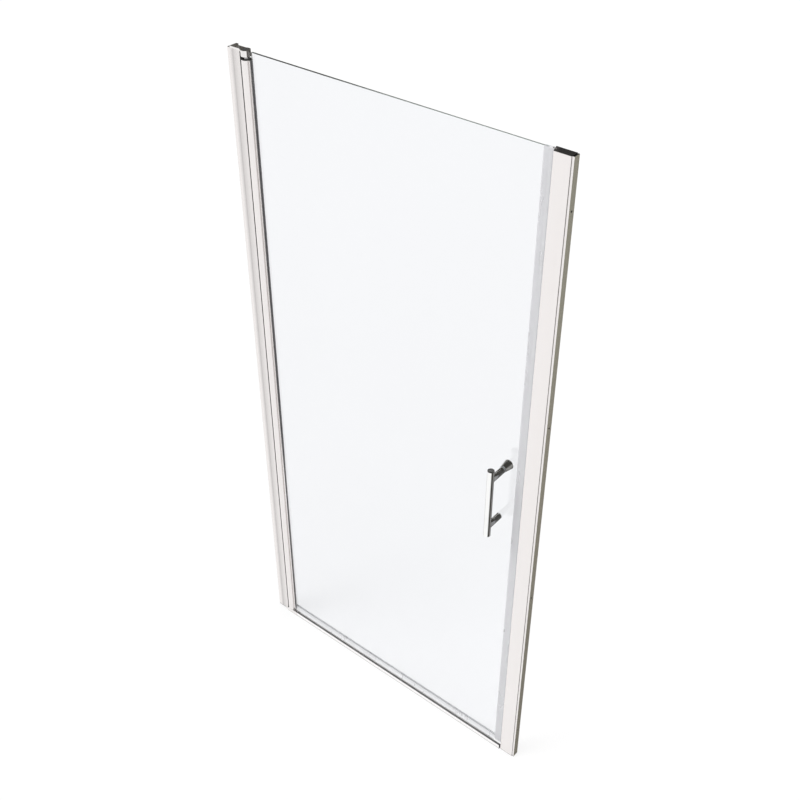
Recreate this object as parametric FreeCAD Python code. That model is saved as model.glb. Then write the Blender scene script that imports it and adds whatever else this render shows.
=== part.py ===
import FreeCAD, Part
import math
import os

# Pivot shower door for an alcove. A framed glass leaf hangs on a round pivot column at the left wall
# and closes with a magnetic seal on a post at the right wall.
# The origin lies on the pivot axis, at the level of the shower tray. +X runs from the pivot to the
# closing side, +Y runs into the shower and +Z is up. All sizes are in millimetres.

# ---------------------------------------------------------------- overall sizes
overall_width = 955.0          # from the wall at the pivot to the wall at the closing side
height = 1900.0                # wall channels, posts and glass end at this level
pivot_to_wall = 57.8           # from the pivot axis to the wall beside it
front_setback = 6.0            # the posts' front lies this far in front of the pivot axis
post_depth = 23.0              # depth of both posts, front to back

# ---------------------------------------------------------------- clearances
slip = 0.4                     # between profiles that slide in one another
snug = 0.05                    # between a shaft or a screw and its hole
hand_fit = 0.2                 # between a plug and the hollow that it is pushed into
running_gap = 0.6              # between faces of the leaf and of the frame that pass each other
close_to = 0.01                # places nearer than this count as the same
past = 1.0                     # cutting solids run this far past the face that they cut

# ---------------------------------------------------------------- wall channels
channel_wall = 1.5
channel_reach = 30.0           # flange length from the wall
wall_screw_hole = 5.5          # diameter of the holes in the channels' webs
wall_screws_outer = 1660.0     # spacing of the outer pair of wall screws
wall_screws_inner = 560.0      # spacing of the inner pair

# ---------------------------------------------------------------- post at the pivot
profile_wall = 1.6
hinge_post_width = 32.5
hinge_post_gap = 15.2          # from the pivot axis to the post's face beside the column
hinge_web_setback = 12.1       # from that face to the post's inner web
flute_width = 10.2             # a shallow flute runs down the post's front
flute_end = 21.3               # from the face beside the column to the flute's sharp edge
flute_depth = 0.9
port_radius = 3.2              # screw ports run down the web inside the post
port_bore = 3.8                # diameter
port_sink = 0.6                # the ports run this deep into the walls beside them
port_pitch = 7.2               # between the two ports
edge_round = 0.8               # rounding of the posts' visible upright edges

# ---------------------------------------------------------------- seal between post and column
gap_seal_place = 1.6           # its neck lies this far in front of the pivot axis
gap_seal_neck = 1.6
gap_seal_foot = 5.0
gap_seal_foot_thick = 1.2
gap_seal_lip_front = 5.3       # its lip comes this far forward from the pivot axis
gap_seal_reach_gap = 0.35      # left free in front of the column
gap_seal_steps = 6             # points on the lip's hollow face

# ---------------------------------------------------------------- closing post
strike_post_width = 41.0       # across the front face
strike_show = 5.8              # width of the wall channel left in sight beside the post
strike_nose_slant = 8.1        # the nose's back edge lies this much nearer the pivot than its front edge
strike_web_setback = 14.4      # from the nose's front edge to the inner web
nose_thick = 7.5               # depth of the nose behind its front edge
post_cap_plate = 2.5
post_cap_skirt = 8.0

# ---------------------------------------------------------------- magnets
magnet_width = 6.6
magnet_thick = 2.4
magnet_skin = 0.8              # carrier wall round a magnet
magnet_gap = 0.7               # between the two closed magnet faces

# ---------------------------------------------------------------- locking screws of the posts
lock_screw_inset = 10.5        # from the end of the channel's flange
lock_screw_spread = 1600.0     # from the lowest to the highest
lock_screw_count = 3
lock_screw_shank = 3.8         # diameter
lock_screw_head = 7.2
lock_screw_head_high = 2.2
lock_screw_length = 7.0
cover_cap_diameter = 12.0
cover_cap_high = 3.6
cover_cap_wall = 0.8

# ---------------------------------------------------------------- pivot column
column_radius = 12.5
column_wall = 1.9
column_foot = 17.0             # lower end of the column above the tray
column_head_room = 18.0        # upper end of the column below the top of the posts
lip_reach = 15.0               # the front clamp lip ends this far from the pivot axis
lip_back_reach = 11.4          # the back one is shorter
lip_front = 4.0                # the front lip's face lies this far in front of the axis
lip_front_thick = 2.2
lip_back_thick = 1.8
lip_step = 10.2                # the round front ends here, and the flat lip begins
bore_flat = 5.4                # the column's bore ends flat in front of the glass slot
slot_web = 1.6

# ---------------------------------------------------------------- glass
glass_thick = 6.0
glass_front = 3.0              # the glass's front face lies this far behind the pivot axis
glass_foot = 24.0              # lower edge above the tray
glass_slot_play = 0.5          # between the glass's edge and the floor of its slot
glass_strike_gap = 12.1        # from the glass's free edge to the closing post's nose
glass_notch = 14.5             # the upper corner is cut back to here, to clear the bracket
glass_notch_drop = 3.0         # the notch ends below the column's upper end
glass_arris = 0.5

# ---------------------------------------------------------------- rise of the leaf
rise = 5.0                     # the leaf rises this much over its quarter turn
cam_tilt = 25.5                # slope of the cam faces, in degrees
cam_radius = 7.1
cam_play = 0.4                 # between the two cam faces
cam_fit = 0.1                  # between the lower cam and its cup
upper_cam_inset = 0.2          # the upper cam is this much smaller than the lower one
cam_lowest = 1.5               # thinnest place of the lower cam

# ---------------------------------------------------------------- pivot pins and bush
pin_radius = 3.5
bottom_pin_length = 58.0
bottom_pin_seat = 3.0          # depth of the pin's seat in the bracket
bottom_pin_point = 0.7         # chamfer
bush_wall = 2.2
top_pin_head = 5.2             # radius
top_pin_head_high = 1.7
top_pin_collar = 4.2           # radius
top_pin_collar_length = 12.0
top_pin_square = 5.0           # across flats
top_pin_square_length = 22.0
square_play = 0.2

# ---------------------------------------------------------------- plugs in the column
top_plug_length = 34.0
bottom_plug_length = 44.0
plug_flange = 1.2
plug_flange_inset = 0.4
plug_socket_skin = 0.8         # left beside the collar's hole

# ---------------------------------------------------------------- brackets
strap_thick = 5.0              # plates above and below the post at the pivot
head_high = 15.0               # height of the round head on the top bracket
foot_high = 15.0               # height of the bottom bracket
foot_front = 9.0               # the bottom bracket's front lies this far in front of the axis
foot_back = 10.5
foot_reach = 26.0              # the bottom bracket ends this far from the axis
foot_floor = 4.0               # below the lower cam
tongue_length = 14.0           # tongues that reach into the post's ends
bracket_round = 1.0
neck_half = 12.0               # the top plate joins its round head this far in front of the axis
plate_ledge = 1.2              # thickness of the top plate behind its raised part
plate_raised_back = 10.0       # the raised part ends this far behind the axis
plate_block = 7.0              # width of the raised block at the plate's wall end
bracket_screw_shank = 3.6
bracket_screw_head = 6.6
bracket_screw_length = 18.0
cap_disc_radius = 8.0
cap_disc_thick = 1.4
cap_disc_seat = 2.0            # width of the ledge that the cap lies on

# ---------------------------------------------------------------- threshold strip
strip_front = 8.5              # in front of the pivot axis
strip_thick = 7.0
strip_high = 15.0
strip_wall = 1.3
strip_round = 1.2
strip_end_gap = 0.3            # between the end cap and the closing post
strip_cap_thick = 1.2
strip_cap_plug = 8.0
strip_spigot = 9.0             # the bottom bracket's spigot in the strip

# ---------------------------------------------------------------- seals on the glass
drip_wall = 1.0
drip_grip = 12.0               # height of glass held by the drip seal
drip_floor = 1.4
drip_fin_reach = 3.6           # the fin stands out this far in front of the seal
drip_fin_drop = 7.0            # the fin's tip hangs this far below the seal's floor
drip_fin_thick = 0.9
drip_end_gap = 0.6
edge_seal_wall = 1.0
edge_seal_grip = 10.5          # width of glass held by the magnet seal
edge_seal_foot = 17.0          # lower end above the tray
edge_seal_proud = 1.0          # it stands this far above the glass
edge_seal_bulge = 1.2          # the magnet chamber is this much wider than the glass on each side

# ---------------------------------------------------------------- handle
handle_inset = 53.0            # from the glass's free edge to the handle's middle
handle_height = 968.4          # middle of the handle above the tray
handle_pitch = 150.5           # between its two fixings
handle_length = 212.4
handle_diameter = 18.0
handle_standoff = 49.2         # from the glass to the middle of the bar
handle_edge = 0.8
standoff_diameter = 17.6
standoff_seat = 7.5            # depth of its seat in the bar
stud_diameter = 6.0
stud_grip = 10.0               # thread length in the standoff
stud_knob_grip = 12.0
bar_stud_diameter = 5.0
bar_stud_grip = 7.0
glass_hole = 12.0
washer_thick = 1.0
washer_diameter = 17.6
sleeve_play = 0.3              # between a sleeve and the glass round it
glass_screw_head = 10.8        # countersunk flush with the back of the glass
knob_base = 19.0
knob_face = 28.0
knob_length = 24.5
knob_edge = 1.2

# ---------------------------------------------------------------- places worked out from the sizes
hinge_wall_x = -pivot_to_wall
strike_wall_x = overall_width - pivot_to_wall
front_y = -front_setback
back_y = front_y + post_depth
channel_front = front_y + profile_wall + slip
channel_back = back_y - profile_wall - slip

post_right = -hinge_post_gap
post_left = post_right - hinge_post_width
post_web = post_right - hinge_web_setback
post_foot = strap_thick

strike_right = strike_wall_x - strike_show
strike_left = strike_right - strike_post_width
strike_web = strike_left + strike_web_setback

column_top = height - column_head_room
glass_back = glass_front + glass_thick
glass_edge = bore_flat + slot_web + glass_slot_play
slot_floor = bore_flat + slot_web
slot_front = -lip_front + lip_front_thick
slot_back = column_radius - lip_back_thick
head_bottom = height + strap_thick - head_high

nose_tilt = math.atan2(strike_nose_slant, post_depth)
glass_middle = glass_front + glass_thick / 2
nose_at_glass = strike_left - strike_nose_slant * (glass_middle - front_y) / post_depth
glass_right = nose_at_glass - glass_strike_gap

handle_x = glass_right - handle_inset
handle_levels = [handle_height - handle_pitch / 2, handle_height + handle_pitch / 2]
bar_y = glass_front - handle_standoff

UP = FreeCAD.Vector(0, 0, 1)
INTO_SHOWER = FreeCAD.Vector(0, 1, 0)
TO_STRIKE = FreeCAD.Vector(1, 0, 0)


# ---------------------------------------------------------------- helpers
def block(x0, x1, y0, y1, z0, z1):
    return Part.makeBox(x1 - x0, y1 - y0, z1 - z0, FreeCAD.Vector(x0, y0, z0))


def post_of(x, y, radius, z0, z1):
    return Part.makeCylinder(radius, z1 - z0, FreeCAD.Vector(x, y, z0), UP)


def rod(x, z, radius, y0, y1):
    return Part.makeCylinder(radius, y1 - y0, FreeCAD.Vector(x, y0, z), INTO_SHOWER)


def prism(outline, z0, z1):
    """An upright prism over a closed outline of (x, y) points."""
    wire = Part.makePolygon([FreeCAD.Vector(x, y, z0) for x, y in outline + outline[:1]])
    return Part.Face(wire).extrude(FreeCAD.Vector(0, 0, z1 - z0))


def strip_prism(outline, x0, x1):
    """A prism along X over a closed outline of (y, z) points."""
    wire = Part.makePolygon([FreeCAD.Vector(x0, y, z) for y, z in outline + outline[:1]])
    return Part.Face(wire).extrude(FreeCAD.Vector(x1 - x0, 0, 0))


def joined(first, *others):
    """One solid from solids that touch or overlap."""
    return first.fuse(list(others)).removeSplitter()


def round_uprights(solid, places, radius):
    """Rounds the upright edges that stand at the given (x, y) places."""
    edges = []
    for edge in solid.Edges:
        if abs(edge.tangentAt(edge.FirstParameter).z) < 1 - close_to:
            continue
        middle = edge.CenterOfMass
        if any(math.hypot(middle.x - x, middle.y - y) < close_to for x, y in places):
            edges.append(edge)
    return solid.makeFillet(radius, edges)


def rims_at(solid, y):
    """The round rims of a solid of revolution that lie in the plane at y."""
    return [edge for edge in solid.Edges
            if len(edge.Vertexes) == 1 and abs(edge.CenterOfMass.y - y) < close_to]


def even_levels(count, spread, middle):
    """Levels of like fixings, spread evenly about a middle level."""
    return [middle + spread * (i / max(count - 1, 1) - 0.5) for i in range(count)]


def save(name, solids):
    """Writes one sub-part, a single solid or a group of separate solids."""
    shape = solids[0] if len(solids) == 1 else Part.makeCompound(solids)
    shape.exportStep(os.path.join("parts", name + ".step"))
    state = "valid" if shape.isValid() else "INVALID"
    print(name, len(shape.Solids), "solids", round(shape.Volume), "mm3", state)


os.makedirs("parts", exist_ok=True)

# ================================================================ wall channels
# A U section of aluminium is screwed to each wall. Its web lies on the wall, and its flanges point
# into the opening. The posts slide over the flanges, so the door fits openings of different widths.
wall_screw_levels = [height / 2 - wall_screws_outer / 2, height / 2 + wall_screws_outer / 2,
                     height / 2 - wall_screws_inner / 2, height / 2 + wall_screws_inner / 2]
channel_middle = (channel_front + channel_back) / 2
lock_levels = even_levels(lock_screw_count, lock_screw_spread, height / 2)
hinge_lock_x = hinge_wall_x + channel_reach - lock_screw_inset
strike_lock_x = strike_wall_x - channel_reach + lock_screw_inset


def wall_channel(wall_x, towards, lock_x):
    """A channel on the wall at wall_x, which opens towards +X (1) or -X (-1)."""
    tip = wall_x + towards * channel_reach
    inner = wall_x + towards * channel_wall
    shell = block(min(wall_x, tip), max(wall_x, tip), channel_front, channel_back, 0, height)
    hollow = block(min(inner, tip), max(inner, tip),
                   channel_front + channel_wall, channel_back - channel_wall, 0, height)
    holes = [Part.makeCylinder(wall_screw_hole / 2, channel_wall,
                               FreeCAD.Vector(min(wall_x, inner), channel_middle, z), TO_STRIKE)
             for z in wall_screw_levels]
    holes += [rod(lock_x, z, lock_screw_shank / 2 + snug, channel_middle, channel_back)
              for z in lock_levels]
    return shell.cut(hollow).cut(holes)


save("hinge_wall_channel", [wall_channel(hinge_wall_x, 1, hinge_lock_x)])
save("strike_wall_channel", [wall_channel(strike_wall_x, -1, strike_lock_x)])

# ================================================================ post at the pivot
# The hollow section slides over the wall channel. A shallow flute runs down its front. Two screw ports
# run inside it for the bracket screws, and a slot in the face beside the column holds the gap seal.
post_inner_front = front_y + profile_wall
post_inner_back = back_y - profile_wall
port_reach = port_radius - port_sink
port_x = post_web + profile_wall + port_reach
port_front = post_inner_front + port_reach
port_places = [(port_x, port_front), (port_x, port_front + port_pitch)]
flute_right = post_right - flute_end
flute_left = flute_right - flute_width
flute_radius = (flute_width ** 2 + flute_depth ** 2) / (2 * flute_depth)


def flute_cut(z0, z1):
    """The hollow that leaves the post's front in a gentle curve and ends in a sharp edge."""
    middle = FreeCAD.Vector(flute_left, front_y + flute_radius, z0)
    half = math.asin(flute_width / flute_radius) / 2
    bend = middle + FreeCAD.Vector(math.sin(half), -math.cos(half), 0) * flute_radius
    start = FreeCAD.Vector(flute_left, front_y, z0)
    end = FreeCAD.Vector(flute_right, front_y + flute_depth, z0)
    corner = FreeCAD.Vector(flute_right, front_y - past, z0)
    outside = FreeCAD.Vector(flute_left, front_y - past, z0)
    wire = Part.Wire([Part.Arc(start, bend, end).toShape(), Part.makeLine(end, corner),
                      Part.makeLine(corner, outside), Part.makeLine(outside, start)])
    return Part.Face(wire).extrude(FreeCAD.Vector(0, 0, z1 - z0))


hinge_post = block(post_left, post_right, front_y, back_y, post_foot, height)
hinge_post = round_uprights(hinge_post, [(post_left, front_y), (post_right, front_y),
                                         (post_left, back_y), (post_right, back_y)], edge_round)
hinge_post = hinge_post.cut([
    block(post_left, post_web, post_inner_front, post_inner_back, post_foot, height),
    block(post_web + profile_wall, post_right - profile_wall, post_inner_front, post_inner_back,
          post_foot, height)])
hinge_post = joined(hinge_post, *[post_of(x, y, port_radius, post_foot, height) for x, y in port_places])
hinge_post = hinge_post.cut([post_of(x, y, port_bore / 2, post_foot, height) for x, y in port_places])
hinge_post = hinge_post.cut([flute_cut(post_foot, height)])
seal_y = -gap_seal_place
seal_slot = gap_seal_neck / 2 + hand_fit
hinge_post = hinge_post.cut([block(post_right - profile_wall, post_right, seal_y - seal_slot,
                                   seal_y + seal_slot, post_foot, height)])
hinge_post = hinge_post.cut([rod(hinge_lock_x, z, lock_screw_shank / 2 + snug, post_inner_back, back_y)
                             for z in lock_levels])
save("hinge_post", [hinge_post])

# The gap seal is a soft strip. Its foot sits behind the slot, and its lip fills the gap to the column
# close behind the post's front.
def clear_of_column(y):
    """The X at which the lip stops short of the column at the depth y."""
    return -math.sqrt((column_radius + gap_seal_reach_gap) ** 2 - y ** 2)


gap_seal_low = foot_high + running_gap / 2
gap_seal_high = head_bottom - running_gap / 2
seal_foot_right = post_right - profile_wall - hand_fit / 2
seal_neck_back = seal_y + gap_seal_neck / 2
lip_levels = [-gap_seal_lip_front + (seal_neck_back + gap_seal_lip_front) * i / (gap_seal_steps - 1)
              for i in range(gap_seal_steps)]
seal_lip = [(post_right + snug, seal_neck_back), (post_right + snug, -gap_seal_lip_front)]
seal_lip += [(clear_of_column(y), y) for y in lip_levels]
gap_seal = joined(
    block(seal_foot_right - gap_seal_foot_thick, seal_foot_right, seal_y - gap_seal_foot / 2,
          seal_y + gap_seal_foot / 2, gap_seal_low, gap_seal_high),
    block(seal_foot_right, post_right + snug, seal_y - gap_seal_neck / 2, seal_neck_back,
          gap_seal_low, gap_seal_high),
    prism(seal_lip, gap_seal_low, gap_seal_high))
save("hinge_gap_seal", [gap_seal])

# ================================================================ top bracket
# A stepped plate lies on the post's upper end, with a tongue inside the post. Its round head hangs over
# the column's upper end and holds the bush.
tongue_front = channel_front + channel_wall + slip
tongue_back = channel_back - channel_wall - slip
tongue_left = post_left + profile_wall
tongue_right = post_web - slip


def post_plate(z0, z1):
    """A plate over the whole end of the post."""
    plate = block(post_left, post_right, front_y, back_y, z0, z1)
    return round_uprights(plate, [(post_left, front_y), (post_left, back_y)], bracket_round)


def raised_plate(z0, z1):
    """The plate's raised part: a block at the wall end, and a strip that runs out to the round head."""
    block_right = post_left + plate_block
    neck_reach = math.sqrt(column_radius ** 2 - neck_half ** 2)
    corners = [(post_left, front_y), (post_right, front_y), (-neck_reach, -neck_half), (0, -neck_half),
               (0, plate_raised_back), (block_right, plate_raised_back), (block_right, back_y),
               (post_left, back_y)]
    plate = round_uprights(prism(corners, z0, z1), [(post_left, front_y), (post_left, back_y)],
                           bracket_round)
    return joined(plate, post_of(0, 0, column_radius, z0, z1))


strap_top = height + strap_thick
bush_radius = pin_radius + snug + bush_wall
bush_top = strap_top - cap_disc_thick - top_pin_head_high - 2 * running_gap
head_well = cap_disc_radius - cap_disc_seat
top_bracket = joined(
    post_plate(height, height + plate_ledge),
    raised_plate(height, strap_top),
    post_of(0, 0, column_radius, head_bottom, height),
    block(tongue_left, tongue_right, tongue_front, tongue_back, height - tongue_length, height))
top_bracket = top_bracket.cut([
    post_of(0, 0, bush_radius + snug, head_bottom, bush_top),
    post_of(0, 0, head_well, bush_top, strap_top - cap_disc_thick),
    post_of(0, 0, cap_disc_radius + snug, strap_top - cap_disc_thick, strap_top)])
sink = (bracket_screw_head - bracket_screw_shank) / 2
for x, y in port_places:
    top_bracket = top_bracket.cut([
        post_of(x, y, bracket_screw_shank / 2 + snug, height, strap_top),
        Part.makeCone(bracket_screw_shank / 2 + snug, bracket_screw_head / 2 + snug, sink,
                      FreeCAD.Vector(x, y, strap_top - sink), UP)])
save("top_pivot_bracket", [top_bracket])
save("top_pivot_bush", [post_of(0, 0, bush_radius, head_bottom, bush_top).cut(
    post_of(0, 0, pin_radius + snug, head_bottom, bush_top))])
save("top_bracket_cap", [post_of(0, 0, cap_disc_radius, strap_top - cap_disc_thick, strap_top)])


def bracket_screws(flat_z, into):
    """Countersunk screws whose heads lie flush at flat_z, driven up (1) or down (-1) into the post."""
    screws = []
    for x, y in port_places:
        head = Part.makeCone(bracket_screw_head / 2, bracket_screw_shank / 2, sink,
                             FreeCAD.Vector(x, y, flat_z), FreeCAD.Vector(0, 0, into))
        shank = Part.makeCylinder(bracket_screw_shank / 2, bracket_screw_length - sink,
                                  FreeCAD.Vector(x, y, flat_z + into * sink), FreeCAD.Vector(0, 0, into))
        screws.append(joined(head, shank))
    return screws


save("top_bracket_screws", bracket_screws(strap_top, -1))

# ================================================================ bottom bracket
# The foot stands on the tray below the column. A plate carries the post's lower end, a cup holds the
# lower cam, and a spigot on the right carries the threshold strip.
strip_back = -strip_front + strip_thick
pin_foot = foot_floor - bottom_pin_seat
foot_cup = cam_radius + cam_fit
plate_left = hinge_wall_x + channel_reach + slip
bottom_bracket = block(post_right, foot_reach, -foot_front, foot_back, 0, foot_high)
bottom_bracket = round_uprights(bottom_bracket, [(post_right, -foot_front), (foot_reach, foot_back),
                                                 (post_right, foot_back)], bracket_round)
bottom_bracket = joined(
    bottom_bracket,
    block(plate_left, post_right + bracket_round, front_y, back_y, 0, strap_thick),
    block(tongue_left, plate_left + past, tongue_front, tongue_back, 0, strap_thick),
    block(tongue_left, tongue_right, tongue_front, tongue_back, 0, strap_thick + tongue_length),
    block(foot_reach, foot_reach + strip_spigot, -strip_front + strip_wall + hand_fit,
          strip_back - strip_wall - hand_fit, 0, strip_high - strip_wall - hand_fit))
bottom_bracket = bottom_bracket.cut([
    post_of(0, 0, foot_cup, foot_floor, foot_high),
    post_of(0, 0, pin_radius + snug, pin_foot, foot_floor)])
for x, y in port_places:
    bottom_bracket = bottom_bracket.cut([
        post_of(x, y, bracket_screw_shank / 2 + snug, 0, strap_thick),
        Part.makeCone(bracket_screw_head / 2 + snug, bracket_screw_shank / 2 + snug, sink,
                      FreeCAD.Vector(x, y, 0), UP)])
save("bottom_pivot_bracket", [bottom_bracket])
save("bottom_bracket_screws", bracket_screws(0, 1))

# ================================================================ rising cam
# The leaf stands on two cams whose faces slope alike. When the leaf turns open, the upper cam climbs
# on the lower one, and the leaf's weight turns it shut again.
cam_swing = cam_radius * math.tan(math.radians(cam_tilt))
cam_face = foot_floor + cam_lowest + cam_swing


def below_slope(radius, z0, face):
    """A round bar from z0 up to a sloping cut whose middle lies at face."""
    bar = post_of(0, 0, radius, z0, face + 2 * cam_swing)
    reach = 2 * radius
    drop = reach * math.tan(math.radians(cam_tilt))
    top = face + 3 * cam_swing
    above = [(-reach, face + drop), (reach, face - drop), (reach, top), (-reach, top)]
    wedge = Part.makePolygon([FreeCAD.Vector(x, -reach, z) for x, z in above + above[:1]])
    return bar.cut(Part.Face(wedge).extrude(FreeCAD.Vector(0, 2 * reach, 0)))


lower_cam = below_slope(cam_radius, foot_floor, cam_face)
lower_cam = lower_cam.cut(post_of(0, 0, pin_radius + snug, foot_floor, foot_high + cam_swing))
save("lower_cam", [lower_cam])

bottom_pin = post_of(0, 0, pin_radius, pin_foot, pin_foot + bottom_pin_length)
save("bottom_pivot_pin", [bottom_pin.makeChamfer(bottom_pin_point, [bottom_pin.Edges[0]])])

# ================================================================ pivot column
# A round aluminium section. Behind its bore, two lips form the slot that holds the glass. The round
# front ends in a step, and the front lip runs on flat to its edge. The back lip is shorter.
column = joined(post_of(0, 0, column_radius, column_foot, column_top),
                block(0, lip_reach, -lip_front, slot_back, column_foot, column_top),
                block(0, lip_back_reach, slot_back - past, column_radius, column_foot, column_top))
column = column.cut([block(lip_step, lip_reach, -column_radius, -lip_front, column_foot, column_top)])
bore = post_of(0, 0, column_radius - column_wall, column_foot, column_top).common(
    block(-column_radius, bore_flat, -column_radius, column_radius, column_foot, column_top))
glass_slot = block(slot_floor, lip_reach, slot_front, slot_back, column_foot, column_top)
lip_trim = block(lip_back_reach, lip_reach, slot_back - past, column_radius, column_foot, column_top)
column = column.cut([bore, glass_slot, lip_trim])
save("pivot_column", [column])

# Plugs of acetal close the column's ends. The lower one carries the upper cam, and the upper one has
# a square socket in which it slides up on the top pin.
plug_radius = column_radius - column_wall - hand_fit
flange_radius = column_radius - plug_flange_inset


def column_plug(z0, z1):
    """The plug's body in the column's bore, flat on the side of the glass."""
    return post_of(0, 0, plug_radius, z0, z1).common(
        block(-column_radius, bore_flat - hand_fit, -column_radius, column_radius, z0, z1))


upper_cam = post_of(0, 0, cam_radius - upper_cam_inset, foot_floor, column_foot - plug_flange)
upper_cam = upper_cam.cut(below_slope(cam_radius + past, 0, cam_face + cam_play))
bottom_plug = joined(
    column_plug(column_foot, column_foot + bottom_plug_length),
    post_of(0, 0, flange_radius, column_foot - plug_flange, column_foot),
    upper_cam)
bottom_plug = bottom_plug.cut(post_of(0, 0, pin_radius + snug, 0, column_foot + bottom_plug_length))
save("column_bottom_plug", [bottom_plug])

collar_top = head_bottom - running_gap / 2
collar_foot = collar_top - top_pin_collar_length
square_foot = collar_foot - top_pin_square_length
square_hole = top_pin_square / 2 + square_play
socket_foot = collar_foot - rise - running_gap
flange_top = column_top + plug_flange
top_plug = joined(column_plug(column_top - top_plug_length, column_top),
                  post_of(0, 0, flange_radius, column_top, flange_top))
top_plug = top_plug.cut([
    post_of(0, 0, bore_flat - hand_fit - plug_socket_skin, socket_foot, flange_top),
    block(-square_hole, square_hole, -square_hole, square_hole,
          column_top - top_plug_length, socket_foot)])
save("column_top_plug", [top_plug])

# The top pin turns with the leaf in the bush, hangs by its head, and lets the leaf rise on its square.
pin_head_foot = bush_top + running_gap / 2
top_pin = joined(
    post_of(0, 0, pin_radius, collar_top, pin_head_foot),
    post_of(0, 0, top_pin_head, pin_head_foot, pin_head_foot + top_pin_head_high),
    post_of(0, 0, top_pin_collar, collar_foot, collar_top),
    block(-top_pin_square / 2, top_pin_square / 2, -top_pin_square / 2, top_pin_square / 2,
          square_foot, collar_foot))
save("top_pivot_pin", [top_pin])

# ================================================================ glass
# Safety glass. One edge sits in the column's slot, its upper corner is cut back beside the bracket,
# and two holes carry the handle.
glass = block(glass_edge, glass_right, glass_front, glass_back, glass_foot, height)
glass = glass.makeChamfer(glass_arris, glass.Edges)
glass = glass.cut([block(glass_edge - past, glass_notch, glass_front - past, glass_back + past,
                         column_top - glass_notch_drop, height + past)])
glass = glass.cut([rod(handle_x, z, glass_hole / 2, glass_front, glass_back) for z in handle_levels])
save("glass_panel", [glass])

# Rubber gaskets wedge the glass between the column's lips.
gasket_edge = lip_reach - snug
gasket_top = column_top - glass_notch_drop
save("glass_gasket_front",
     [block(slot_floor, gasket_edge, slot_front, glass_front, glass_foot, gasket_top)])
save("glass_gasket_back",
     [block(slot_floor, lip_back_reach - snug, glass_back, slot_back, glass_foot, gasket_top)])

# ================================================================ closing post
# The hollow section slides over the wall channel. Its nose is slanted, so that the leaf opens only
# outwards, and a pocket in the nose holds the magnet strip in its carrier.
strike_back_left = strike_left - strike_nose_slant
cap_tongue_left = strike_web + profile_wall + hand_fit
cap_tongue_front = channel_front + channel_wall + hand_fit
cap_tongue_back = channel_back - channel_wall - hand_fit
pocket_half = magnet_width / 2 + magnet_skin + snug
pocket_depth = magnet_thick + 2 * magnet_skin + snug
# Directions of the slanted face: one runs along it towards the shower, the other out to the leaf.
along = (-math.sin(nose_tilt), math.cos(nose_tilt))
out = (-math.cos(nose_tilt), -math.sin(nose_tilt))


def on_nose(outline, z0, z1):
    """A prism over an outline of (along, out) points on the nose's slanted face."""
    return prism([(nose_at_glass + a * along[0] + o * out[0], glass_middle + a * along[1] + o * out[1])
                  for a, o in outline], z0, z1)


def nose_block(half, out0, out1, z0, z1, shift=0.0):
    """A bar parallel to the nose's face, centred on the glass's middle plane or shifted along it."""
    low, high = shift - half, shift + half
    return on_nose([(low, out0), (high, out0), (high, out1), (low, out1)], z0, z1)


strike_corners = [(strike_left, front_y), (strike_right, front_y), (strike_right, back_y),
                  (strike_back_left, back_y)]
strike_post = round_uprights(prism(strike_corners, 0, height), strike_corners, edge_round)
nose_shift = strike_nose_slant * (post_inner_back - post_inner_front) / post_depth
nose_inner = [(strike_left + nose_thick, post_inner_front), (strike_web, post_inner_front),
              (strike_web, post_inner_back), (strike_left + nose_thick - nose_shift, post_inner_back)]
strike_post = strike_post.cut([
    prism(nose_inner, 0, height),
    block(strike_web + profile_wall, strike_right, post_inner_front, post_inner_back, 0, height),
    nose_block(pocket_half, -pocket_depth, past, 0, height),
    block(strike_web, strike_web + profile_wall, cap_tongue_front - hand_fit, cap_tongue_back + hand_fit,
          height - post_cap_plate - hand_fit, height)])
strike_post = strike_post.cut([
    rod(strike_lock_x, z, lock_screw_shank / 2 + snug, post_inner_back, back_y) for z in lock_levels])
save("strike_post", [strike_post])

# A dark plug closes the post's upper end, round the channel's flanges.
nose_cap = [(nose_inner[0][0] + hand_fit, post_inner_front + hand_fit),
            (strike_web - hand_fit, post_inner_front + hand_fit),
            (strike_web - hand_fit, post_inner_back - hand_fit),
            (nose_inner[3][0] + hand_fit, post_inner_back - hand_fit)]
save("strike_post_cap", [joined(
    prism(nose_cap, height - post_cap_skirt, height),
    block(cap_tongue_left, strike_right, cap_tongue_front, cap_tongue_back,
          height - post_cap_skirt, height),
    block(strike_web - hand_fit, cap_tongue_left, cap_tongue_front, cap_tongue_back,
          height - post_cap_plate, height))])

# The carrier clips into the nose's pocket, and the magnet strip lies inside it.
carrier = nose_block(magnet_width / 2 + magnet_skin, snug - pocket_depth, -snug, 0, height)
magnet_bed = nose_block(magnet_width / 2 + snug, -magnet_skin - magnet_thick - 2 * snug, -magnet_skin,
                        0, height)
save("strike_magnet_carrier", [carrier.cut([magnet_bed])])
save("strike_magnet_strip", [nose_block(magnet_width / 2, -magnet_skin - snug - magnet_thick,
                                        -magnet_skin - snug, 0, height)])

# ================================================================ screws that lock the posts
# Each post is drilled with its channel and locked by three screws on the shower side, under snap caps.
lock_head_back = back_y + lock_screw_head_high
for name, lock_x in [("hinge", hinge_lock_x), ("strike", strike_lock_x)]:
    screws = []
    caps = []
    for z in lock_levels:
        screws.append(joined(
            rod(lock_x, z, lock_screw_head / 2, back_y, lock_head_back),
            rod(lock_x, z, lock_screw_shank / 2, lock_head_back - lock_screw_length, back_y)))
        shell = rod(lock_x, z, cover_cap_diameter / 2, back_y, back_y + cover_cap_high)
        shell = shell.makeFillet(cover_cap_wall, [shell.Edges[0]])
        caps.append(shell.cut(rod(lock_x, z, cover_cap_diameter / 2 - cover_cap_wall, back_y,
                                  back_y + cover_cap_high - cover_cap_wall)))
    save(name + "_locking_screws", screws)
    save(name + "_screw_caps", caps)

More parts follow.
